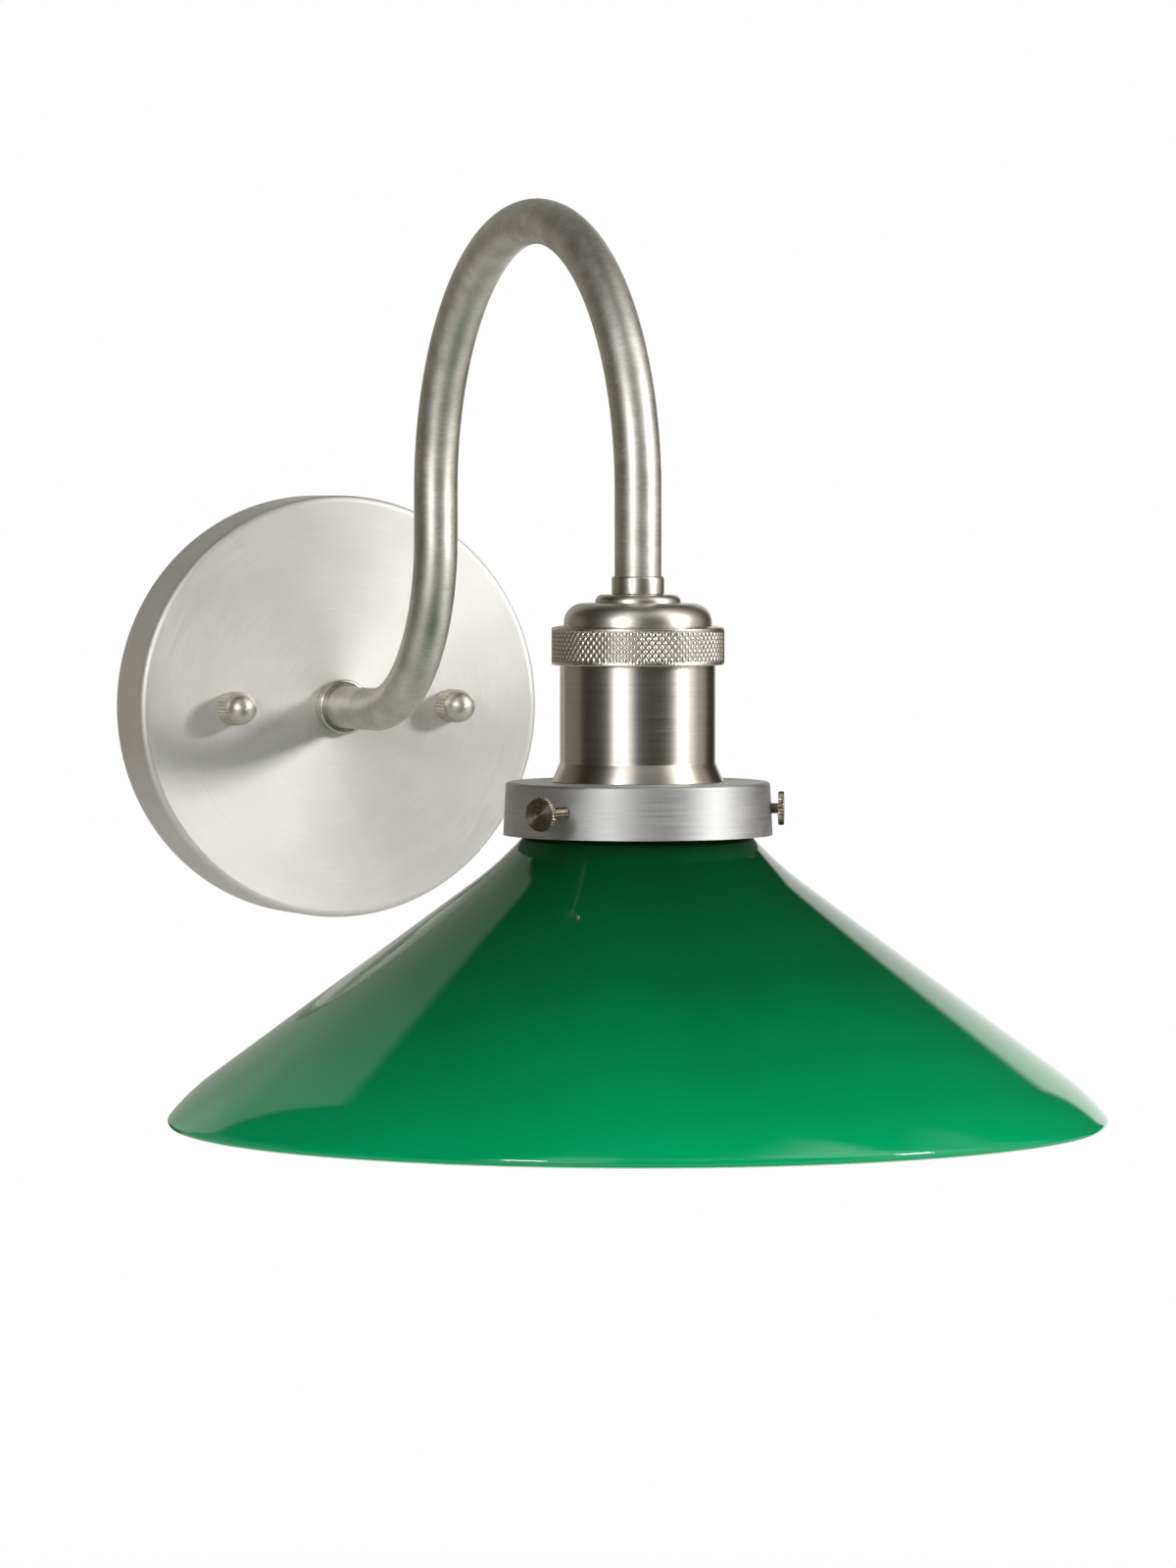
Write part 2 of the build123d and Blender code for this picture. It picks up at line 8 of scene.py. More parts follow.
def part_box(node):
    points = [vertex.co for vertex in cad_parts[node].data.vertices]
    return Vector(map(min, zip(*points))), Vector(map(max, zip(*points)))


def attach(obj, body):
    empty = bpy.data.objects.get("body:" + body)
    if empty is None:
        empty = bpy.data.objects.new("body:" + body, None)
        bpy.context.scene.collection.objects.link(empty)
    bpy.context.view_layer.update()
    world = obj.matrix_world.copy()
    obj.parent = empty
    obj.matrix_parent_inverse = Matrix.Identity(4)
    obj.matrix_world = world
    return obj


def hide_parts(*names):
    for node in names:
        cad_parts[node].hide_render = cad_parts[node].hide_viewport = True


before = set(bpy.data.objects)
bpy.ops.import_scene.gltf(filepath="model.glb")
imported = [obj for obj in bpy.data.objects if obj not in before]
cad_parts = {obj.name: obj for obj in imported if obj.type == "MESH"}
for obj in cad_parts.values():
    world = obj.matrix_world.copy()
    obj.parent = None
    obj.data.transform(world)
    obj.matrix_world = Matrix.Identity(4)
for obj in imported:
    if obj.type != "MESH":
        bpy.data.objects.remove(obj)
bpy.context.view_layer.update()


# ---- wall plate ----
# The real piece is a round pan drawn from 1.2 mm steel sheet, open towards the wall.
# It is nickel plated, and its face is brushed on a lathe: fine rings about the arm's root.
MM = 0.001
PLATE_NICKEL = "#e6e4e0"
PLATE_SHADE = "#dcdad6"
PLATE_RING_PITCH = 0.4 * MM    # about 0.1 mm on the real plate, where the render would lose it
HANDLING_SPOTS = 18 * MM       # size of the faint marks that hands leave on turned metal


def linear(code):
    """An sRGB hex colour as the linear RGBA that a shader takes."""
    tones = [int(code[start:start + 2], 16) / 255 for start in (1, 3, 5)]
    return tuple(t / 12.92 if t <= 0.04045 else ((t + 0.055) / 1.055) ** 2.4 for t in tones) + (1.0,)


def add(tree, kind, inputs, **settings):
    """Adds one node: settings are its own, inputs are plain values or sockets to link from."""
    made = tree.nodes.new(kind)
    for name, value in settings.items():
        setattr(made, name, value)
    for name, value in inputs.items():
        if isinstance(value, bpy.types.NodeSocket):
            tree.links.new(value, made.inputs[name])
        else:
            made.inputs[name].default_value = value
    return made


def material(name, surface):
    """A node material whose surface(tree) returns the shader's socket."""
    made = bpy.data.materials.new(name)
    made.use_nodes = True
    tree = made.node_tree
    tree.nodes.clear()
    add(tree, "ShaderNodeOutputMaterial", {"Surface": surface(tree)})
    return made


def spread(tree, fac, low, high):
    """Carries a noise value, mostly 0.3 to 0.7, to a range from low to high."""
    inputs = {"Value": fac, "From Min": 0.3, "From Max": 0.7, "To Min": low, "To Max": high}
    return add(tree, "ShaderNodeMapRange", inputs).outputs["Result"]


def blend_colours(tree, fac, first, second):
    """Mixes two colours, given as hex or as sockets, by a value from 0 to 1."""
    mix = tree.nodes.new("ShaderNodeMix")
    mix.data_type = "RGBA"
    tree.links.new(fac, mix.inputs[0])
    for socket, colour in ((mix.inputs[6], first), (mix.inputs[7], second)):
        if isinstance(colour, str):
            socket.default_value = linear(colour)
        else:
            tree.links.new(colour, socket)
    return mix.outputs[2]


AXES = {"X": (1, 0, 0), "Y": (0, 1, 0), "Z": (0, 0, 1)}


def turned_metal(name, tones, roughness, pitch, depth, sheen_pull, axis="Z", centre=(0, 0, 0)):
    """Metal finished on a lathe: rings about an axis, which pull each highlight across them."""
    along = Vector(AXES[axis])
    across = Vector((1, 1, 1)) - along

    def surface(tree):
        place = add(tree, "ShaderNodeTexCoord", {}).outputs["Object"]
        place = add(tree, "ShaderNodeVectorMath", {0: place, 1: centre}, operation="SUBTRACT").outputs[0]
        flat = add(tree, "ShaderNodeVectorMath", {0: place, 1: across}, operation="MULTIPLY").outputs[0]
        radius = add(tree, "ShaderNodeVectorMath", {0: flat}, operation="LENGTH").outputs["Value"]
        height = add(tree, "ShaderNodeVectorMath", {0: place, 1: along}, operation="DOT_PRODUCT")
        # a ring's tone drifts slowly as it runs round
        drift = add(
            tree, "ShaderNodeVectorMath", {0: place, 1: (0.03, 0.021, 0.026)}, operation="DOT_PRODUCT"
        )
        ring_inputs = {"X": radius, "Y": height.outputs["Value"], "Z": drift.outputs["Value"]}
        ring_place = add(tree, "ShaderNodeCombineXYZ", ring_inputs).outputs[0]
        rings = add(
            tree,
            "ShaderNodeTexNoise",
            {"Vector": ring_place, "Scale": 1 / pitch, "Detail": 3.0, "Roughness": 0.6},
        ).outputs[0]
        handling = add(
            tree, "ShaderNodeTexNoise", {"Vector": place, "Scale": 1 / HANDLING_SPOTS, "Detail": 2.0}
        ).outputs[0]
        tone = add(tree, "ShaderNodeMath", {0: rings, 1: handling}, operation="MULTIPLY").outputs[0]
        tone = add(
            tree,
            "ShaderNodeMapRange",
            {"Value": tone, "From Min": 0.12, "From Max": 0.4, "To Min": 0.0, "To Max": 1.0},
        ).outputs["Result"]
        bump = add(tree, "ShaderNodeBump", {"Strength": 0.6, "Distance": depth, "Height": rings})
        tangent = add(tree, "ShaderNodeTangent", {}, direction_type="RADIAL", axis=axis)
        return add(
            tree,
            "ShaderNodeBsdfPrincipled",
            {
                "Base Color": blend_colours(tree, tone, tones[1], tones[0]),
                "Metallic": 1.0,
                "Roughness": spread(tree, rings, roughness * 0.92, roughness * 1.08),
                "Anisotropic": sheen_pull,
                "Anisotropic Rotation": 0.25,
                "Tangent": tangent.outputs[0],
                "Normal": bump.outputs[0],
            },
        ).outputs[0]

    return material(name, surface)


def dress(node_name, finish):
    """Gives a carried-over piece its finish."""
    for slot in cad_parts[node_name].material_slots:
        slot.material = finish


plate_nickel = turned_metal(
    "lathe_brushed_nickel_plate",
    (PLATE_NICKEL, PLATE_SHADE),
    roughness=0.54,
    pitch=PLATE_RING_PITCH,
    depth=0.002 * MM,
    sheen_pull=0.5,
    axis="Y",
)
dress("wall_plate", plate_nickel)


# ---- mounting bar, earth screw, studs and their jam nuts ----
# Behind the plate: a stamped steel bar, bright zinc plated, with its green earth screw.
# The studs and nuts are the same zinc; the studs run out through the plate to the hand nuts.
ZINC = "#b9bdc0"
ZINC_SHADE = "#8f9599"
ZINC_GRAIN = 1.4 * MM
EARTH_GREEN = "#2f7a45"
EARTH_GREEN_SHADE = "#20562f"


def plated_steel(name, tones, roughness, grain):
    """Stamped steel under thin plating: faint cloudy spangle, no direction."""

    def surface(tree):
        place = add(tree, "ShaderNodeTexCoord", {}).outputs["Object"]
        cloud = add(
            tree, "ShaderNodeTexNoise", {"Vector": place, "Scale": 1 / grain, "Detail": 4.0}
        ).outputs[0]
        bump = add(tree, "ShaderNodeBump", {"Strength": 0.4, "Distance": 0.01 * MM, "Height": cloud})
        return add(
            tree,
            "ShaderNodeBsdfPrincipled",
            {
                "Base Color": blend_colours(tree, cloud, tones[1], tones[0]),
                "Metallic": 1.0,
                "Roughness": spread(tree, cloud, roughness * 0.8, roughness * 1.2),
                "Normal": bump.outputs[0],
            },
        ).outputs[0]

    return material(name, surface)


zinc = plated_steel("bright_zinc_plated_steel", (ZINC, ZINC_SHADE), 0.32, ZINC_GRAIN)
earth_green = plated_steel(
    "green_passivated_screw", (EARTH_GREEN, EARTH_GREEN_SHADE), 0.38, ZINC_GRAIN
)
for zinc_piece in ("mounting_bar", "plate_studs", "stud_nuts"):
    dress(zinc_piece, zinc)
dress("earth_screw", earth_green)


# ---- hand nuts ----
# Domed nuts turned from brass bar and nickel plated, with a straight-knurled skirt.
# They screw on the studs and hold the plate against the wall box.
NUT_NICKEL = "#dad6cd"
NUT_SHADE = "#b3ada2"

for side in ("left", "right"):
    low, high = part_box("hand_nut_" + side)
    nut_finish = turned_metal(
        "turned_nickel_hand_nut_" + side,
        (NUT_NICKEL, NUT_SHADE),
        roughness=0.42,
        pitch=0.5 * MM,
        depth=0.012 * MM,
        sheen_pull=0.3,
        axis="Y",
        centre=(low + high) / 2,
    )
    dress("hand_nut_" + side, nut_finish)


# ---- arm's root: collar, nipple, lock washer and nut ----
# A turned ring slipped over the tube hides its joint with the plate. Inside, a threaded
# nipple, a toothed washer and a pipe nut pull the tube's end down on the plate.
COLLAR_NICKEL = "#d0cdc6"
COLLAR_SHADE = "#b8b4ac"

root_finish = turned_metal(
    "turned_nickel_root_collar",
    (COLLAR_NICKEL, COLLAR_SHADE),
    roughness=0.27,
    pitch=0.4 * MM,
    depth=0.004 * MM,
    sheen_pull=0.5,
    axis="Y",
)
dress("root_collar", root_finish)
for zinc_piece in ("root_nipple", "root_lock_washer", "root_nut"):
    dress(zinc_piece, zinc)


# ---- arm tube ----
# One 1/2 in steel tube, bent cold round three formers and polished with a belt that
# turns about it, so its scratches run round the tube; then satin nickel plated.
TUBE_NICKEL = "#e6e4dd"
TUBE_SHADE = "#bbb8b0"
TUBE_SCRATCH = 0.45 * MM
TUBE_CLOUD = 9 * MM
ROOT_BEND = 50.8 * MM
ARCH_BEND = 75.5 * MM
TUBE_BORE = 8.7 * MM
TUBE_SEAT = 3 * MM             # how far the tube's end stands down in the end collar
TUBE_SIDES = 72
BEND_STEP = math.radians(1.5)
RUN_STEP = 4 * MM

tube_low, tube_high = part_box("arm_tube")
tube_radius = tube_high.x
front_leg = tube_low.y + tube_radius
back_leg = front_leg + 2 * ARCH_BEND
arch_height = tube_high.z - tube_radius - ARCH_BEND
tube_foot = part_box("end_collar")[1].z - TUBE_SEAT


def run(start, end):
    """Points with their directions along a straight run, in the plane of the arm."""
    count = max(2, round((end - start).length / RUN_STEP))
    heading = (end - start).normalized()
    return [(start.lerp(end, step / count), heading) for step in range(count)]


def bend(centre, radius, first, last):
    """Points with their directions round a bend, between two angles about its centre."""
    count = round(abs(last - first) / BEND_STEP)
    turn = 1 if last > first else -1
    placed = []
    for step in range(count):
        angle = first + (last - first) * step / count
        arm = Vector((0, math.cos(angle), math.sin(angle)))
        heading = Vector((0, -math.sin(angle), math.cos(angle))) * turn
        placed.append((centre + arm * radius, heading))
    return placed


def arm_line():
    """Centre line of the arm, from the wall plate to the end over the socket."""
    root = Vector((0, tube_high.y, 0))
    elbow_start = Vector((0, back_leg + ROOT_BEND, 0))
    elbow_centre = Vector((0, back_leg + ROOT_BEND, ROOT_BEND))
    back_top = Vector((0, back_leg, arch_height))
    arch_centre = Vector((0, back_leg - ARCH_BEND, arch_height))
    front_top = Vector((0, front_leg, arch_height))
    foot = Vector((0, front_leg, tube_foot))
    line = run(root, elbow_start)
    line += bend(elbow_centre, ROOT_BEND, -math.pi / 2, -math.pi)
    line += run(Vector((0, back_leg, ROOT_BEND)), back_top)
    line += bend(arch_centre, ARCH_BEND, 0, math.pi)
    line += run(front_top, foot)
    return line + [(foot, Vector((0, 0, -1)))]


def tube_skin(name, line, outer, bore, sides):
    """A bored tube along a line, its UV in metres: along the tube and round it."""
    verts, faces, places = [], [], []
    side_width = 2 * math.pi * outer / sides
    travelled = 0.0
    rows = []
    for number, (point, heading) in enumerate(line):
        if number:
            travelled += (point - line[number - 1][0]).length
        side = Vector((1, 0, 0))
        up = heading.cross(side)
        for radius in (outer, bore):
            for step in range(sides):
                angle = 2 * math.pi * step / sides
                verts.append(point + side * math.cos(angle) * radius + up * math.sin(angle) * radius)
        rows.append(travelled)

    def corner(row, layer, step):
        return row * 2 * sides + layer * sides + step % sides

    for row in range(len(line) - 1):
        for step in range(sides):
            for layer in (0, 1):
                ring = [
                    (row, layer, step),
                    (row, layer, step + 1),
                    (row + 1, layer, step + 1),
                    (row + 1, layer, step),
                ]
                if layer == 1:
                    ring.reverse()
                faces.append([corner(*place) for place in ring])
                places.append([(rows[place[0]], side_width * place[2]) for place in ring])
    for row, flip in ((0, True), (len(line) - 1, False)):
        for step in range(sides):
            ring = [(row, 0, step), (row, 0, step + 1), (row, 1, step + 1), (row, 1, step)]
            if flip:
                ring.reverse()
            faces.append([corner(*place) for place in ring])
            places.append([(rows[row], side_width * place[2]) for place in ring])
    return mesh_object(name, verts, faces, places)


def mesh_object(name, verts, faces, places=None, crease=math.radians(35)):
    """A smooth mesh that keeps its sharp edges, with its UV where one is given."""
    mesh = bpy.data.meshes.new(name)
    mesh.from_pydata(verts, [], faces)
    if places:
        layer = mesh.uv_layers.new(name="UVMap")
        corners = [place for face in places for place in face]
        for loop, place in zip(layer.data, corners):
            loop.uv = place
    mesh.update()
    mesh.polygons.foreach_set("use_smooth", [True] * len(mesh.polygons))
    mesh.set_sharp_from_angle(angle=crease)
    made = bpy.data.objects.new(name, mesh)
    bpy.context.scene.collection.objects.link(made)
    return made


def belt_polished(tree):
    """Satin nickel with short scratches round the tube: a highlight runs along it, softly."""
    place = add(tree, "ShaderNodeUVMap", {}, uv_map="UVMap").outputs[0]
    stretched = add(
        tree, "ShaderNodeVectorMath", {0: place, 1: (1.0, 0.12, 0.0)}, operation="MULTIPLY"
    ).outputs[0]
    scratches = add(
        tree,
        "ShaderNodeTexNoise",
        {"Vector": stretched, "Scale": 1 / TUBE_SCRATCH, "Detail": 4.0, "Roughness": 0.65},
    ).outputs[0]
    cloud = add(
        tree, "ShaderNodeTexNoise", {"Vector": place, "Scale": 1 / TUBE_CLOUD, "Detail": 3.0}
    ).outputs[0]
    tone = add(tree, "ShaderNodeMath", {0: scratches, 1: cloud}, operation="MULTIPLY").outputs[0]
    tone = add(
        tree,
        "ShaderNodeMapRange",
        {"Value": tone, "From Min": 0.1, "From Max": 0.42, "To Min": 0.0, "To Max": 1.0},
    ).outputs["Result"]
    bump = add(
        tree, "ShaderNodeBump", {"Strength": 0.8, "Distance": 0.008 * MM, "Height": scratches}
    )
    tangent = add(tree, "ShaderNodeTangent", {}, direction_type="UV_MAP", uv_map="UVMap")
    return add(
        tree,
        "ShaderNodeBsdfPrincipled",
        {
            "Base Color": blend_colours(tree, tone, TUBE_SHADE, TUBE_NICKEL),
            "Metallic": 1.0,
            "Roughness": spread(tree, scratches, 0.42, 0.54),
            "Anisotropic": 0.3,
            "Tangent": tangent.outputs[0],
            "Normal": bump.outputs[0],
        },
    ).outputs[0]


arm = tube_skin("bent_arm_tube", arm_line(), tube_radius, TUBE_BORE / 2, TUBE_SIDES)
arm.data.materials.append(material("belt_polished_nickel_tube", belt_polished))
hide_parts("arm_tube")
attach(arm, "fixture")


# ---- socket cap with its end collar ----
# A cup turned from bar sits under the tube's end, on a cap spun from 1 mm brass in two
# rounded steps. Both are nickel plated over lathe marks, which pull the light downwards.
SOCKET_NICKEL = "#dad7cf"
SOCKET_SHADE = "#cbc7be"
ROUND_STEPS = 8                # mesh steps in a rounded corner
TURN_STEPS = 256               # mesh steps in a full turn
SAME_PLACE = 0.0001 * MM

collar_low, collar_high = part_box("end_collar")
cap_low, cap_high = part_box("socket_cap")
socket_axis = Vector((0, (cap_low.y + cap_high.y) / 2, 0))


def rounded(corners):
    """Outline points, where a corner (across, height, radius) becomes an arc."""
    points = []
    count = len(corners)
    for number, (across, height, radius) in enumerate(corners):
        here = Vector((across, height))
        if radius == 0:
            points.append(here)
            continue
        before = Vector(corners[number - 1][:2]) - here
        after = Vector(corners[(number + 1) % count][:2]) - here
        half = before.angle(after) / 2
        reach = radius / math.tan(half)
        start = here + before.normalized() * reach
        end = here + after.normalized() * reach
        middle = here + (before.normalized() + after.normalized()).normalized() * radius / math.sin(half)
        first = start - middle
        swing = first.angle_signed(end - middle)
        for step in range(ROUND_STEPS + 1):
            turn = -swing * step / ROUND_STEPS
            points.append(middle + Matrix.Rotation(turn, 2) @ first)
    return points


def turned(name, outline, seat, steps=TURN_STEPS, cut=None):
    """A closed outline of (across, height) points turned about the local Z axis.
    cut(step, number) is how deep a knurl or thread goes there."""
    verts, faces, places = [], [], []
    count = len(outline)
    lengths = [0.0]
    for number in range(count):
        lengths.append(lengths[-1] + (outline[(number + 1) % count] - outline[number]).length)
    for step in range(steps):
        angle = 2 * math.pi * step / steps
        for number, point in enumerate(outline):
            across = point.x - (cut(step, number) if cut else 0)
            verts.append((across * math.cos(angle), across * math.sin(angle), point.y))
    runs_back = sum(outline[number - 1].cross(outline[number]) for number in range(count)) < 0
    for step in range(steps):
        for number in range(count):
            ring = [(step, number), (step + 1, number), (step + 1, number + 1), (step, number + 1)]
            if runs_back:
                ring.reverse()
            faces.append([(place[0] % steps) * count + place[1] % count for place in ring])
            places.append([(place[0] / steps, lengths[place[1]]) for place in ring])
    made = mesh_object(name, verts, faces, places)
    if min(point.x for point in outline) == 0:
        close_poles(made.data)
    made.matrix_world = seat
    return made


def close_poles(mesh):
    """Joins the points that lie on the axis, which closes the ends and leaves no line inside."""
    editing = bmesh.new()
    editing.from_mesh(mesh)
    bmesh.ops.remove_doubles(editing, verts=editing.verts, dist=SAME_PLACE)
    bmesh.ops.dissolve_degenerate(editing, edges=editing.edges, dist=SAME_PLACE)
    on_axis = [edge for edge in editing.edges if edge.is_wire]
    bmesh.ops.delete(editing, geom=on_axis, context="EDGES")
    editing.to_mesh(mesh)
    editing.free()


def over_socket(height=0.0):
    """Seat on the upright line through socket and shade."""
    return Matrix.Translation(socket_axis + Vector((0, 0, height)))


socket_nickel = turned_metal(
    "spun_nickel_socket",
    (SOCKET_NICKEL, SOCKET_SHADE),
    roughness=0.3,
    pitch=0.4 * MM,
    depth=0.001 * MM,
    sheen_pull=0.55,
)
cap_nickel = turned_metal(
    "satin_nickel_cap",
    (SOCKET_NICKEL, SOCKET_SHADE),
    roughness=0.38,
    pitch=0.4 * MM,
    depth=0.001 * MM,
    sheen_pull=0.4,
)

COLLAR_FOOT_ROUND = 0.5 * MM
COLLAR_TOP_ROUND = 0.8 * MM
COLLAR_FLOOR = 2 * MM
COLLAR_PLAY = 0.1 * MM         # round the tube
COLLAR_MOUTH = 0.3 * MM        # the same at the mouth, which is eased
COLLAR_EASED = 0.8 * MM
COLLAR_BORE = 4.95 * MM        # radius, a nipple's own

collar_radius = collar_high.x
collar_foot = collar_low.z
collar_outline = rounded(
    [
        (collar_radius, collar_foot, COLLAR_FOOT_ROUND),
        (collar_radius, collar_high.z, COLLAR_TOP_ROUND),
        (tube_radius + COLLAR_MOUTH, collar_high.z, 0),
        (tube_radius + COLLAR_PLAY, collar_high.z - COLLAR_EASED, 0),
        (tube_radius + COLLAR_PLAY, collar_foot + COLLAR_FLOOR, 0),
        (COLLAR_BORE, collar_foot + COLLAR_FLOOR, 0),
        (COLLAR_BORE, collar_foot, 0),
    ]
)
end_collar = turned("end_collar_cup", collar_outline, over_socket())
end_collar.data.materials.append(cap_nickel)
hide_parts("end_collar")
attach(end_collar, "fixture")

CAP_SHEET = 1.0 * MM
STEP_RADIUS = 11.6 * MM
STEP_HEIGHT = 2.3 * MM
STEP_ROUND = 2.0 * MM
STEP_FOOT = 0.25 * MM          # fillet where the step meets the dome
DOME_ROUND = 5.2 * MM
FLANGE = 1.0 * MM
CAP_BORE = 5.15 * MM           # radius, with play round the nipple

flange_radius = cap_high.x
dome_radius = flange_radius - FLANGE
dome_top = cap_high.z - STEP_HEIGHT
cap_outline = rounded(
    [
        (CAP_BORE, cap_high.z, 0),
        (STEP_RADIUS, cap_high.z, STEP_ROUND),
        (STEP_RADIUS, dome_top, STEP_FOOT),
        (dome_radius, dome_top, DOME_ROUND),
        (dome_radius, cap_low.z + CAP_SHEET, 0),
        (flange_radius, cap_low.z + CAP_SHEET, 0),
        (flange_radius, cap_low.z, 0),
        (dome_radius - CAP_SHEET, cap_low.z, 0),
        (dome_radius - CAP_SHEET, dome_top - CAP_SHEET, DOME_ROUND - CAP_SHEET),
        (STEP_RADIUS - CAP_SHEET, dome_top - CAP_SHEET, 0),
        (STEP_RADIUS - CAP_SHEET, cap_high.z - CAP_SHEET, STEP_ROUND - CAP_SHEET),
        (CAP_BORE, cap_high.z - CAP_SHEET, 0),
    ]
)
socket_cap = turned("spun_socket_cap", cap_outline, over_socket())
socket_cap.data.materials.append(cap_nickel)
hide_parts("socket_cap")
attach(socket_cap, "fixture")
dress("socket_nipple", zinc)
dress("cap_nut", zinc)


# ---- union ring ----
# A ring turned from brass bar, rolled with a diamond knurl to be gripped, and plated.
# It screws on the shell, and its crowned lip holds the cap's flange down.
RING_NICKEL = "#dedad2"
RING_GROOVE_SHADED = "#a39b8d"        # painted shade: darker and browner down in the grooves
KNURL_COLUMNS = 80
KNURL_ROWS = 4
KNURL_DEPTH = 0.34 * MM
KNURL_FLAT = 0.62              # share of a full point's height that the roller leaves
KNURL_CUTS = 6                 # mesh steps in one knurl pitch
KNURL_WEAR = 2.5 * MM          # size of the patches where handling has worn the knurl
RING_LIP = 1.4 * MM
RING_CROWN = 0.6 * MM
RING_RIM = 0.5 * MM
RING_ROUND = 0.3 * MM
LIP_EDGE = 0.15 * MM
THREAD_EDGE = 0.2 * MM
LIP_PLAY = 0.2 * MM            # round the cap's dome
THREAD_PLAY = 0.05 * MM
BAND_STEP = 0.01 * MM          # keeps the knurl's end rows off the rims
BORE_MARGIN = 0.3 * MM         # what lies this close to the thread counts as inside, and gets no painted groove shade

ring_low, ring_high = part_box("union_ring")
ring_radius = ring_high.x
ring_shoulder = ring_high.z - RING_CROWN
lip_bore = dome_radius + LIP_PLAY
thread_bore = flange_radius + THREAD_PLAY
knurl_rows = KNURL_ROWS * KNURL_CUTS


def knurl_cut(step, number):
    """Depth of the knurl where two sets of slanted V grooves cross; its end rows run out."""
    if number > knurl_rows:
        return 0
    rising = abs(((step + number) / KNURL_CUTS) % 1 - 0.5) * 2
    falling = abs(((step - number) / KNURL_CUTS) % 1 - 0.5) * 2
    height = min(1 - max(rising, falling), KNURL_FLAT) / KNURL_FLAT
    run_out = min(1, min(number, knurl_rows - number) / 2)
    return KNURL_DEPTH * (1 - height) * run_out


band_low = ring_low.z + RING_RIM
band_high = ring_shoulder - RING_RIM
ring_outline = []
for row in range(knurl_rows + 1):
    rise = (band_high - band_low) * row / knurl_rows
    ring_outline.append(Vector((ring_radius, band_low + rise)))
ring_outline += rounded(
    [
        (ring_radius, band_high + BAND_STEP, 0),
        (ring_radius, ring_shoulder, RING_ROUND),
        (lip_bore, ring_high.z, LIP_EDGE),
        (lip_bore, ring_shoulder - RING_LIP, 0),
        (thread_bore, ring_shoulder - RING_LIP, 0),
        (thread_bore, ring_low.z, THREAD_EDGE),
        (ring_radius, ring_low.z, RING_ROUND),
        (ring_radius, band_low - BAND_STEP, 0),
    ]
)


def knurled_surface(tree):
    """Plated knurl: painted shade makes its grooves darker and browner than its points."""
    place = add(tree, "ShaderNodeTexCoord", {}).outputs["Object"]
    flat = add(tree, "ShaderNodeVectorMath", {0: place, 1: (1, 1, 0)}, operation="MULTIPLY").outputs[0]
    radius = add(tree, "ShaderNodeVectorMath", {0: flat}, operation="LENGTH").outputs["Value"]
    wear = add(
        tree, "ShaderNodeTexNoise", {"Vector": place, "Scale": 1 / KNURL_WEAR, "Detail": 3.0}
    ).outputs[0]
    inputs = {
        "Value": radius,
        "From Min": ring_radius - KNURL_DEPTH,
        "From Max": ring_radius - KNURL_DEPTH * 0.3,
        "To Min": 0.0,
        "To Max": 1.0,
    }
    height = add(tree, "ShaderNodeMapRange", inputs).outputs["Result"]
    inside = add(
        tree, "ShaderNodeMath", {0: radius, 1: thread_bore + BORE_MARGIN}, operation="LESS_THAN"
    ).outputs[0]
    # painted shade: the colour darkens with depth into the grooves, but not in the bore
    unshaded = add(tree, "ShaderNodeMath", {0: height, 1: inside}, operation="MAXIMUM").outputs[0]
    return add(
        tree,
        "ShaderNodeBsdfPrincipled",
        {
            "Base Color": blend_colours(tree, unshaded, RING_GROOVE_SHADED, RING_NICKEL),
            "Metallic": 1.0,
            "Roughness": spread(tree, wear, 0.26, 0.36),
        },
    ).outputs[0]


union_ring = turned(
    "diamond_knurled_ring", ring_outline, over_socket(), KNURL_COLUMNS * KNURL_CUTS, knurl_cut
)
union_ring.data.materials.append(material("knurled_nickel_ring", knurled_surface))
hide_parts("union_ring")
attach(union_ring, "fixture")


# ---- socket shell ----
# Spun brass sleeve with a flared skirt, plated and lathe-brushed like the cap.
# It hides the lampholder and stands on the fitter.
SHELL_SHEET = 1.2 * MM
SHELL_FLARE_HEIGHT = 5.2 * MM
SHELL_FLARE_OUT = 2.25 * MM
SHELL_FOOT_EDGE = 0.2 * MM
SHELL_WAIST_ROUND = 1.2 * MM

shell_low, shell_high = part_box("socket_shell")
shell_foot = shell_high.x
shell_radius = shell_foot - SHELL_FLARE_OUT
waist = shell_low.z + SHELL_FLARE_HEIGHT
shell_outline = rounded(
    [
        (shell_radius, shell_high.z, 0),
        (shell_radius - SHELL_SHEET, shell_high.z, 0),
        (shell_radius - SHELL_SHEET, waist, 0),
        (shell_foot - SHELL_SHEET, shell_low.z, 0),
        (shell_foot, shell_low.z, SHELL_FOOT_EDGE),
        (shell_radius, waist, SHELL_WAIST_ROUND),
    ]
)
socket_shell = turned("spun_socket_shell", shell_outline, over_socket())
socket_shell.data.materials.append(socket_nickel)
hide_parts("socket_shell")
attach(socket_shell, "fixture")


# ---- lampholder, its strap, contacts and lock ring ----
# The body is moulded from black phenolic, with faint flow marks. The screw shell and
# contacts are stamped brass; the strap and its screws are zinc-plated steel.
PHENOLIC = "#1b1a19"
PHENOLIC_SHADE = "#131211"
PHENOLIC_MOTTLE = 1.2 * MM
BRASS = "#c9a45c"
BRASS_SHADE = "#9a7838"
BRASS_GRAIN = 1.8 * MM


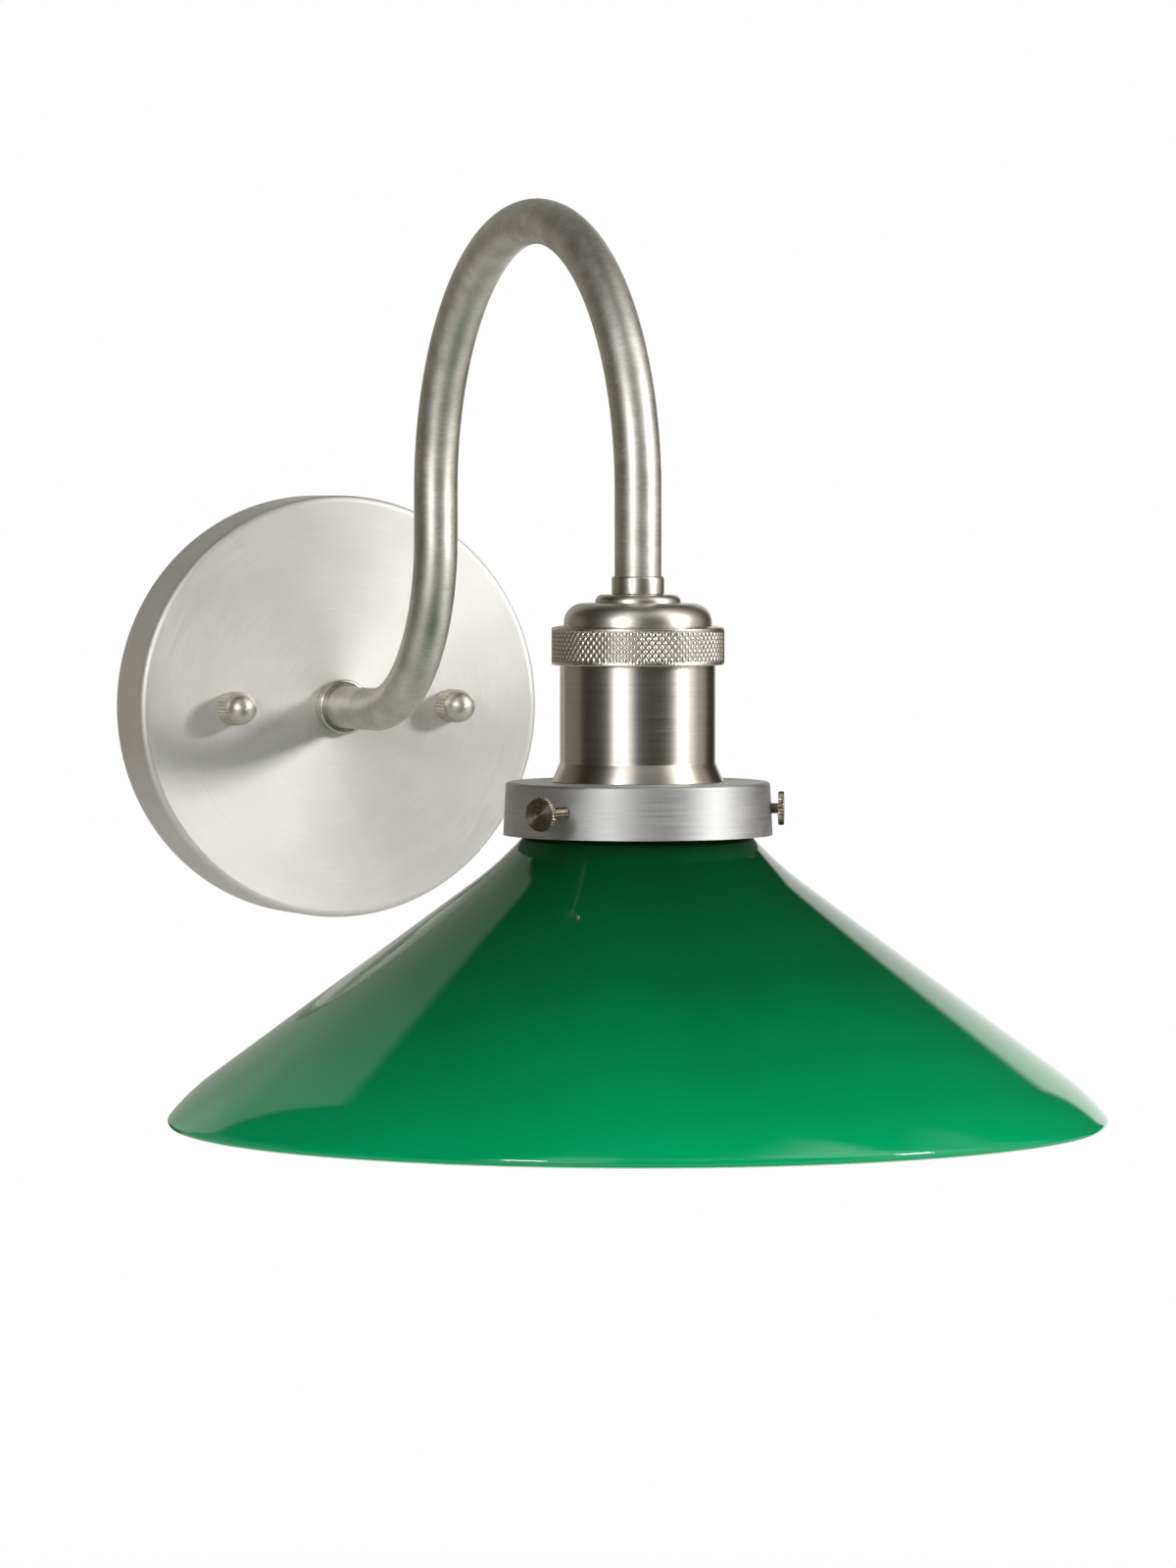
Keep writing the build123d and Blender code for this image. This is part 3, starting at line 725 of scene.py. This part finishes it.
def phenolic_surface(tree):
    """Moulded black phenolic: a low gloss with a slightly mottled skin."""
    place = add(tree, "ShaderNodeTexCoord", {}).outputs["Object"]
    mottle = add(
        tree, "ShaderNodeTexNoise", {"Vector": place, "Scale": 1 / PHENOLIC_MOTTLE, "Detail": 4.0}
    ).outputs[0]
    bump = add(tree, "ShaderNodeBump", {"Strength": 0.3, "Distance": 0.02 * MM, "Height": mottle})
    return add(
        tree,
        "ShaderNodeBsdfPrincipled",
        {
            "Base Color": blend_colours(tree, mottle, PHENOLIC_SHADE, PHENOLIC),
            "IOR": 1.6,
            "Roughness": spread(tree, mottle, 0.3, 0.42),
            "Normal": bump.outputs[0],
        },
    ).outputs[0]


phenolic = material("moulded_black_phenolic", phenolic_surface)
brass = plated_steel("stamped_brass", (BRASS, BRASS_SHADE), 0.3, BRASS_GRAIN)
for moulded in ("lampholder", "lock_ring"):
    dress(moulded, phenolic)
for stamped in ("screw_shell", "centre_contact", "line_terminal", "neutral_terminal"):
    dress(stamped, brass)
for zinc_piece in ("holder_strap", "strap_screws"):
    dress(zinc_piece, zinc)


# ---- shade fitter ----
# A ring turned from aluminium bar and left as it came off the lathe: the tool's feed
# shows as fine level lines, and the metal is whiter and duller than the nickel.
FITTER_ALUMINIUM = "#d0d0cf"
FITTER_SHADE = "#b8b8b7"
TOOL_FEED = 0.55 * MM          # about 0.25 mm on the real ring, where the render would lose it

fitter_aluminium = turned_metal(
    "turned_aluminium_fitter",
    (FITTER_ALUMINIUM, FITTER_SHADE),
    roughness=0.58,
    pitch=TOOL_FEED,
    depth=0.006 * MM,
    sheen_pull=0.4,
    centre=socket_axis,
)
dress("shade_fitter", fitter_aluminium)


# ---- thumb screws ----
# Three M3 screws with thin, straight-knurled heads, turned from brass and plated darker
# than the rest. The left one stands backed out, as the photograph shows it.
SCREW_NICKEL = "#bdb3a2"
SCREW_SHADE = "#a99e8b"
SCREW_BEARINGS = {"left": -55.5, "right": 64.5, "rear": 184.5}   # from the front, towards +X
SCREW_RADIUS = 1.5 * MM
SCREW_THREAD = 0.5 * MM
SCREW_THREAD_DEPTH = 0.22 * MM
SCREW_POINT = 0.9 * MM
SCREW_POINT_LENGTH = 0.6 * MM
HEAD_RADIUS = 4.55 * MM
HEAD_THICK = 1.6 * MM
HEAD_CHAMFER = 0.25 * MM
HEAD_TEETH = 32
HEAD_TOOTH = 0.3 * MM
TOOTH_CUTS = 4                 # mesh steps in one tooth
THREAD_CUTS = 4                # mesh rows in one turn of the thread

screw_finish = turned_metal(
    "turned_nickel_thumb_screw",
    (SCREW_NICKEL, SCREW_SHADE),
    roughness=0.27,
    pitch=0.35 * MM,
    depth=0.004 * MM,
    sheen_pull=0.8,
)


def ends_along(node_name, heading):
    """Where a carried-over piece starts and ends along a heading from the socket's axis."""
    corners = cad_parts[node_name].data.vertices
    along = [(corner.co - socket_axis).dot(heading) for corner in corners]
    return min(along), max(along)


def thumb_screw(place):
    """Screw with a real thread and a knurled head, in its CAD node's place."""
    node_name = "thumb_screw_" + place
    bearing = math.radians(SCREW_BEARINGS[place])
    heading = Vector((math.sin(bearing), -math.cos(bearing), 0))
    tip, face = ends_along(node_name, heading)
    low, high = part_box(node_name)
    length = face - tip
    head_base = length - HEAD_THICK
    thread_rows = round((head_base - SCREW_POINT_LENGTH) / SCREW_THREAD * THREAD_CUTS)
    steps = HEAD_TEETH * TOOTH_CUTS
    outline = [Vector((0, 0)), Vector((SCREW_POINT, 0))]
    thread_start = len(outline)
    for row in range(thread_rows + 1):
        rise = SCREW_POINT_LENGTH + (head_base - SCREW_POINT_LENGTH) * row / thread_rows
        outline.append(Vector((SCREW_RADIUS, rise)))
    head_start = len(outline)
    outline += [
        Vector((HEAD_RADIUS - HEAD_CHAMFER - HEAD_TOOTH, head_base)),
        Vector((HEAD_RADIUS - HEAD_CHAMFER, head_base)),
        Vector((HEAD_RADIUS, head_base + HEAD_CHAMFER)),
        Vector((HEAD_RADIUS, length - HEAD_CHAMFER)),
        Vector((HEAD_RADIUS - HEAD_CHAMFER, length)),
        Vector((HEAD_RADIUS - HEAD_CHAMFER - HEAD_TOOTH, length)),
        Vector((0, length)),
    ]

    def cut(step, number):
        if number in (head_start + 2, head_start + 3):
            return abs((step / TOOTH_CUTS) % 1 - 0.5) * 2 * HEAD_TOOTH
        if thread_start < number < head_start - 1:
            turns = (number - thread_start) / THREAD_CUTS - step / steps
            return abs(turns % 1 - 0.5) * 2 * SCREW_THREAD_DEPTH
        return 0

    start = socket_axis + heading * tip + Vector((0, 0, (low.z + high.z) / 2))
    seat = Matrix.Translation(start) @ heading.to_track_quat("Z", "Y").to_matrix().to_4x4()
    screw = turned("knurled_thumb_screw_" + place, outline, seat, steps, cut)
    screw.data.materials.append(screw_finish)
    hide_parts(node_name)
    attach(screw, node_name)


for place in SCREW_BEARINGS:
    thumb_screw(place)


# ---- glass shade ----
# Blown and cased glass: a skin of green over opal white, fire-polished at the rim.
# The green is painted from nearly black at the neck to bright at the rim: partly the green skin thickest
# at the neck and thinning as it spreads, partly painted light for the light that shines through the
# glass near its mouth.
GLASS = 3.0 * MM
LIP_RADIUS = 28.5 * MM
LIP_HEIGHT = 2.1 * MM
LIP_ROUND = 0.8 * MM
NECK_STRAIGHT = 0.05 * MM      # under the lip's fillet, before the neck curves
BORE_STRAIGHT = 0.2 * MM       # the same on the inside
NECK_RADIUS = 25.3 * MM
NECK_FILLET = 0.6 * MM
NECK_CURVE = 6.0 * MM
NECK_ANGLE = math.radians(52)
FLARE_CURVE = 95.0 * MM
CONE_ANGLE = math.radians(36.4)
CONE_END = 115.65 * MM
RIM_CURVE = 60.0 * MM
RIM_ANGLE = math.radians(51)
EDGE_STEPS = 12                # mesh steps round the rim's edge
SHADE_STEPS = 384
GREEN_NECK_SHADED = "#003114"
GREEN_MIDDLE = "#006838"
GREEN_RIM_LIT = "#00a466"
OPAL = "#f0eee6"
OPAL_SHADE = "#e8e6dd"
GLASS_DRIFT = 45 * MM          # how slowly the green varies in depth
GLASS_WAVES = 30 * MM          # and how slowly the blown surface waves
OPAL_CLOUD = 25 * MM

shade_low, shade_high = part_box("glass_shade")


def glass_outside():
    """Outside of the glass, from under the lip to the rim: arcs and one straight run."""
    points = []
    across = NECK_RADIUS
    height = shade_high.z - LIP_HEIGHT - NECK_FILLET
    # radius of each span (0 where it is straight), its fall at both ends, and its mesh steps
    spans = [
        (NECK_CURVE, math.pi / 2, NECK_ANGLE, 16),
        (FLARE_CURVE, NECK_ANGLE, CONE_ANGLE, 24),
        (0, CONE_ANGLE, CONE_ANGLE, 24),
        (RIM_CURVE, CONE_ANGLE, RIM_ANGLE, 16),
    ]
    for radius, first, last, steps in spans:
        if radius == 0:
            length = (CONE_END - across) / math.cos(first)
        else:
            length = radius * abs(last - first)
        for step in range(steps):
            points.append((across, height, first + (last - first) * step / steps))
            fall = first + (last - first) * (step + 0.5) / steps
            across += length / steps * math.cos(fall)
            height -= length / steps * math.sin(fall)
    points.append((across, height, RIM_ANGLE))
    return points


def shade_outline():
    """Closed outline of the glass in four runs: green outside, rim's edge, inside and lip."""
    outside = glass_outside()
    lip_top = shade_high.z
    lip_under = lip_top - LIP_HEIGHT
    inner_radius = NECK_RADIUS - GLASS
    green = [Vector((across, height)) for across, height, fall in outside]
    across, height, fall = outside[-1]
    into_glass = Vector((-math.sin(fall), -math.cos(fall)))
    along = Vector((math.cos(fall), -math.sin(fall)))
    edge_middle = Vector((across, height)) + into_glass * GLASS / 2
    edge = []
    for step in range(1, EDGE_STEPS):
        angle = math.pi * step / EDGE_STEPS
        outwards = along * math.sin(angle) * GLASS / 2
        edge.append(edge_middle - into_glass * math.cos(angle) * GLASS / 2 + outwards)
    inside = []
    for across, height, fall in reversed(outside):
        inside.append(Vector((across - math.sin(fall) * GLASS, height - math.cos(fall) * GLASS)))
    lip = rounded(
        [
            (inner_radius, inside[-1].y + BORE_STRAIGHT, 0),
            (inner_radius, lip_top, LIP_ROUND),
            (LIP_RADIUS, lip_top, LIP_ROUND),
            (LIP_RADIUS, lip_under, LIP_ROUND),
            (NECK_RADIUS, lip_under, NECK_FILLET),
            (NECK_RADIUS, lip_under - NECK_FILLET - NECK_STRAIGHT, 0),
        ]
    )
    return green, edge, inside, lip


def green_surface(tree):
    """Polished green glass over opal under a hard mirror gloss; its colour ramps, partly as painted
    light, from dark at the neck to bright at the rim.
    """
    place = add(tree, "ShaderNodeTexCoord", {}).outputs["Object"]
    height = add(tree, "ShaderNodeSeparateXYZ", {0: place}).outputs["Z"]
    inputs = {
        "Value": height,
        "From Min": shade_high.z,
        "From Max": shade_low.z,
        "To Min": 0.0,
        "To Max": 1.0,
    }
    fall = add(tree, "ShaderNodeMapRange", inputs).outputs["Result"]
    streak_place = add(
        tree, "ShaderNodeVectorMath", {0: place, 1: (1.0, 1.0, 0.25)}, operation="MULTIPLY"
    ).outputs[0]
    drift = add(
        tree, "ShaderNodeTexNoise", {"Vector": streak_place, "Scale": 1 / GLASS_DRIFT, "Detail": 2.0}
    ).outputs[0]
    shift = spread(tree, drift, -0.03, 0.03)
    depth = add(tree, "ShaderNodeMath", {0: fall, 1: shift}, operation="ADD").outputs[0]
    # painted light in part: the green ramps from shaded at the neck to lit at the rim
    ramp = add(tree, "ShaderNodeValToRGB", {"Fac": depth})
    stops = ramp.color_ramp.elements
    stops[0].position, stops[0].color = 0.08, linear(GREEN_NECK_SHADED)
    stops[1].position, stops[1].color = 1.0, linear(GREEN_RIM_LIT)
    middle = stops.new(0.5)
    middle.color = linear(GREEN_MIDDLE)
    waves = add(
        tree, "ShaderNodeTexNoise", {"Vector": streak_place, "Scale": 1 / GLASS_WAVES, "Detail": 1.0}
    ).outputs[0]
    bump = add(tree, "ShaderNodeBump", {"Strength": 0.5, "Distance": 0.06 * MM, "Height": waves})
    return add(
        tree,
        "ShaderNodeBsdfPrincipled",
        {
            "Base Color": ramp.outputs[0],
            "IOR": 1.5,
            "Roughness": 0.05,
            "Normal": bump.outputs[0],
        },
    ).outputs[0]


def opal_surface(tree):
    """Opal white glass: milky, with a little light spreading in it, nearly as glossy as the green."""
    place = add(tree, "ShaderNodeTexCoord", {}).outputs["Object"]
    cloud = add(
        tree, "ShaderNodeTexNoise", {"Vector": place, "Scale": 1 / OPAL_CLOUD, "Detail": 3.0}
    ).outputs[0]
    waves = add(tree, "ShaderNodeBump", {"Strength": 0.4, "Distance": 0.05 * MM, "Height": cloud})
    return add(
        tree,
        "ShaderNodeBsdfPrincipled",
        {
            "Base Color": blend_colours(tree, cloud, OPAL_SHADE, OPAL),
            "IOR": 1.5,
            "Roughness": 0.08,
            "Subsurface Weight": 0.3,
            "Subsurface Radius": (0.004, 0.004, 0.004),
            "Subsurface Scale": 1.0,
            "Normal": waves.outputs[0],
        },
    ).outputs[0]


green, edge, inside, lip = shade_outline()
outline = green + edge + inside + lip
shade = turned("cased_glass_shade", outline, over_socket(), SHADE_STEPS)
shade.data.materials.append(material("green_cased_glass", green_surface))
shade.data.materials.append(material("opal_white_glass", opal_surface))
# the green skin ends halfway round the rim's edge, and at the other end inside the lip's top
opal_first = len(green) + len(edge) // 2
opal_end = len(green) + len(edge) + len(inside) + ROUND_STEPS + 1
for number, face in enumerate(shade.data.polygons):
    face.material_index = 1 if opal_first <= number % len(outline) < opal_end else 0
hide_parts("glass_shade")
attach(shade, "fixture")


# ---- leads ----
# Two stranded wires with smooth insulation, black for the line and white for the
# neutral, drawn through the arm from the lampholder to the wall box.
LEAD_BLACK = "#1e1e20"
LEAD_BLACK_SHADE = "#131315"
LEAD_WHITE = "#dedbd2"
LEAD_WHITE_SHADE = "#c9c5ba"
LEAD_SCUFF = 3 * MM


def insulation(name, colour, shade_colour):
    """Extruded wire covering: smooth and slightly waxy, with faint scuffs."""

    def surface(tree):
        place = add(tree, "ShaderNodeTexCoord", {}).outputs["Object"]
        scuff = add(
            tree, "ShaderNodeTexNoise", {"Vector": place, "Scale": 1 / LEAD_SCUFF, "Detail": 4.0}
        ).outputs[0]
        return add(
            tree,
            "ShaderNodeBsdfPrincipled",
            {
                "Base Color": blend_colours(tree, scuff, shade_colour, colour),
                "IOR": 1.52,
                "Roughness": spread(tree, scuff, 0.38, 0.5),
            },
        ).outputs[0]

    return material(name, surface)


dress("line_lead", insulation("black_wire_insulation", LEAD_BLACK, LEAD_BLACK_SHADE))
dress("neutral_lead", insulation("white_wire_insulation", LEAD_WHITE, LEAD_WHITE_SHADE))


# ---- studio ----
# A round of white paper below, and soft boxes that stand where the metal and the glass show
# them: one tall in front, one high over it, a tall pair at the right, and weaker ones behind.
FLOOR_DROP = 0.3               # the paper lies this far below the shade
FLOOR_RADIUS = 1.1
FLOOR_SIDES = 96
FADE_START = 0.1               # from here outwards the paper fades to full white
FADE_LOW = 0.9
FLOOR_WHITE = "#f2f2f0"
CAMERA_BEARING = -22.43        # degrees from the front (-Y), positive towards +X
ROOM = "#2a241b"               # what is left dark between the boxes

floor_mesh = bpy.data.meshes.new("studio_floor")
rim = []
for side in range(FLOOR_SIDES):
    angle = 2 * math.pi * side / FLOOR_SIDES
    rim.append((FLOOR_RADIUS * math.cos(angle), FLOOR_RADIUS * math.sin(angle), 0))
floor_mesh.from_pydata(rim, [], [range(FLOOR_SIDES)])
floor = bpy.data.objects.new("studio_floor", floor_mesh)
floor.location = Vector((0, socket_axis.y / 2, shade_low.z - FLOOR_DROP))
bpy.context.scene.collection.objects.link(floor)


def floor_surface(tree):
    """White paper with the object's shadow, fading into the white round it."""
    place = add(tree, "ShaderNodeTexCoord", {}).outputs["Object"]
    distance = add(tree, "ShaderNodeVectorMath", {0: place}, operation="LENGTH").outputs["Value"]
    inputs = {
        "Value": distance,
        "From Min": FADE_START,
        "From Max": FLOOR_RADIUS,
        "To Min": FADE_LOW,
        "To Max": 1.0,
    }
    whiteness = add(tree, "ShaderNodeMapRange", inputs).outputs["Result"]
    seen = add(tree, "ShaderNodeLightPath", {}).outputs["Is Camera Ray"]
    share = add(tree, "ShaderNodeMath", {0: seen, 1: whiteness}, operation="MULTIPLY").outputs[0]
    paper = add(tree, "ShaderNodeBsdfDiffuse", {"Color": linear(FLOOR_WHITE)}).outputs[0]
    white = add(tree, "ShaderNodeEmission", {"Color": (1, 1, 1, 1), "Strength": 1.0}).outputs[0]
    return add(tree, "ShaderNodeMixShader", {0: share, 1: paper, 2: white}).outputs[0]


floor.data.materials.append(material("seamless_white_paper", floor_surface))

world = bpy.data.worlds.new("studio")
bpy.context.scene.world = world
world.use_nodes = True
sky = world.node_tree
sky.nodes.clear()
direction = add(sky, "ShaderNodeTexCoord", {}).outputs["Generated"]
level = add(sky, "ShaderNodeVectorMath", {0: direction, 1: (1, 1, 0)}, operation="MULTIPLY").outputs[0]
level = add(sky, "ShaderNodeVectorMath", {0: level}, operation="NORMALIZE").outputs[0]
rise = add(sky, "ShaderNodeSeparateXYZ", {0: direction}).outputs["Z"]


def step_up(value, start, end):
    """A smooth step from 0 at start to 1 at end."""
    inputs = {"Value": value, "From Min": start, "From Max": end, "To Min": 0.0, "To Max": 1.0}
    return add(sky, "ShaderNodeMapRange", inputs, interpolation_type="SMOOTHSTEP").outputs["Result"]


def times(first, second):
    """The product of two values."""
    return add(sky, "ShaderNodeMath", {0: first, 1: second}, operation="MULTIPLY").outputs[0]


def soft_box(bearing, half_width, low, high, soft, colour, strength):
    """A bright patch of the surroundings, in degrees; its bearing is seen from the camera."""
    turn = math.radians(bearing + CAMERA_BEARING)
    facing = (math.sin(turn), -math.cos(turn), 0)
    nearness = add(sky, "ShaderNodeVectorMath", {0: level, 1: facing}, operation="DOT_PRODUCT")
    outer = math.cos(math.radians(half_width + soft))
    inner = math.cos(math.radians(half_width - soft))
    across = step_up(nearness.outputs["Value"], outer, inner)
    up = step_up(rise, math.sin(math.radians(low - soft)), math.sin(math.radians(low + soft)))
    down = step_up(rise, math.sin(math.radians(high + soft)), math.sin(math.radians(high - soft)))
    share = times(times(times(across, up), down), strength)
    return add(sky, "ShaderNodeBackground", {"Color": linear(colour), "Strength": share}).outputs[0]


# bearing, half width, low and high edge, softness of the edges, colour, strength
boxes = [
    soft_box(-23, 13, -60, 70, 7, "#ffffff", 1.25),
    soft_box(22, 32, 38, 66, 8, "#ffffff", 0.45),
    soft_box(74, 17, -60, 30, 7, "#ffffff", 0.9),
    soft_box(71, 19, 30, 66, 7, "#ffffff", 1.8),
    soft_box(104, 14, -60, 50, 6, "#fff6e8", 0.36),
    soft_box(-125, 30, -60, 24, 6, "#f6ecdc", 0.22),
    soft_box(-162, 21, -4, 46, 1.5, "#fbfff2", 0.4),
    soft_box(169, 11, -60, 25, 1.5, "#ffffff", 1.1),
]
studio_light = add(sky, "ShaderNodeBackground", {"Color": linear(ROOM), "Strength": 1.0}).outputs[0]
for box in boxes:
    studio_light = add(sky, "ShaderNodeAddShader", {0: studio_light, 1: box}).outputs[0]
to_camera = add(sky, "ShaderNodeLightPath", {}).outputs["Is Camera Ray"]
backdrop = add(sky, "ShaderNodeBackground", {"Color": (1, 1, 1, 1), "Strength": 1.0}).outputs[0]
mixed = add(sky, "ShaderNodeMixShader", {0: to_camera, 1: studio_light, 2: backdrop}).outputs[0]
add(sky, "ShaderNodeOutputWorld", {"Surface": mixed})


def lamp(name, bearing, rise_angle, distance, size, power):
    """A square soft box aimed at the middle of the sconce; bearing and rise in degrees."""
    data = bpy.data.lights.new(name, "AREA")
    data.shape = "SQUARE"
    data.size = size
    data.energy = power
    made = bpy.data.objects.new(name, data)
    bpy.context.scene.collection.objects.link(made)
    turn = math.radians(bearing + CAMERA_BEARING)
    lift = math.radians(rise_angle)
    level_part = math.cos(lift)
    away = Vector((math.sin(turn) * level_part, -math.cos(turn) * level_part, math.sin(lift)))
    middle = Vector((0, socket_axis.y / 2, 0))
    made.location = middle + away * distance
    made.rotation_euler = (-away).to_track_quat("-Z", "Y").to_euler()


# bearing and rise in degrees, distance and side in metres, power in watts
lamp("key_lamp", 67, 17, 1.7, 0.27, 13.0)
lamp("fill_lamp", -24, 15, 1.7, 0.3, 8.0)


# ---- camera ----
# It stands where the photograph was taken from, to the left of the sconce and a little above
# the shade, far enough off for the long lens that the photograph's flat view points to.
TARGET = Vector((-14.59, -252.43, -14.12)) * MM
CAMERA_RISE = 2.41
CAMERA_DISTANCE = 1853.3 * MM
LENS = 158.0                   # both in mm, as Blender takes them
SENSOR_WIDTH = 36.0

turn = math.radians(CAMERA_BEARING)
lift = math.radians(CAMERA_RISE)
level_part = math.cos(lift)
back = Vector((math.sin(turn) * level_part, -math.cos(turn) * level_part, math.sin(lift)))
camera_data = bpy.data.cameras.new("photo_camera")
camera_data.lens = LENS
camera_data.sensor_width = SENSOR_WIDTH
camera = bpy.data.objects.new("photo_camera", camera_data)
camera.location = TARGET + back * CAMERA_DISTANCE
camera.rotation_euler = (-back).to_track_quat("-Z", "Y").to_euler()
bpy.context.scene.collection.objects.link(camera)
bpy.context.scene.camera = camera
bpy.context.scene.view_settings.view_transform = "Standard"
